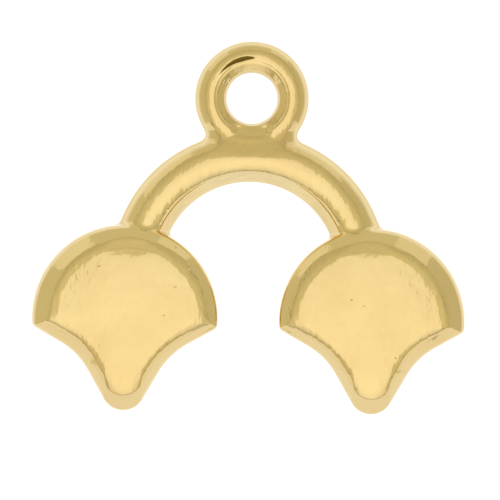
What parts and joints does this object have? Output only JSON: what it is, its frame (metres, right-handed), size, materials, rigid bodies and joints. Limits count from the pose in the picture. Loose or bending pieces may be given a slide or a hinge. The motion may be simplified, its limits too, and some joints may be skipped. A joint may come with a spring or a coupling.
{
  "type": "beadwork end cap",
  "caption": "Gold-plated end cap for flat fan-shaped beads: fan leaves with thread holes in their stems hang from a round arch with a loop on top.",
  "frame": {"origin": "middle of the flat backs' plane, below the middle of the whole piece's width and height", "axes": "+X across both leaves, to the right as the picture shows the piece; +Y from the stems' points to the loop; +Z out of the crowned faces"},
  "size_m": [0.0174, 0.0148, 0.0029],
  "materials": {
    "gold_plate": "polished gold plate over a casting"
  },
  "bodies": {
    "root": {"end_cap": "gold_plate"}
  },
  "joints": []
}
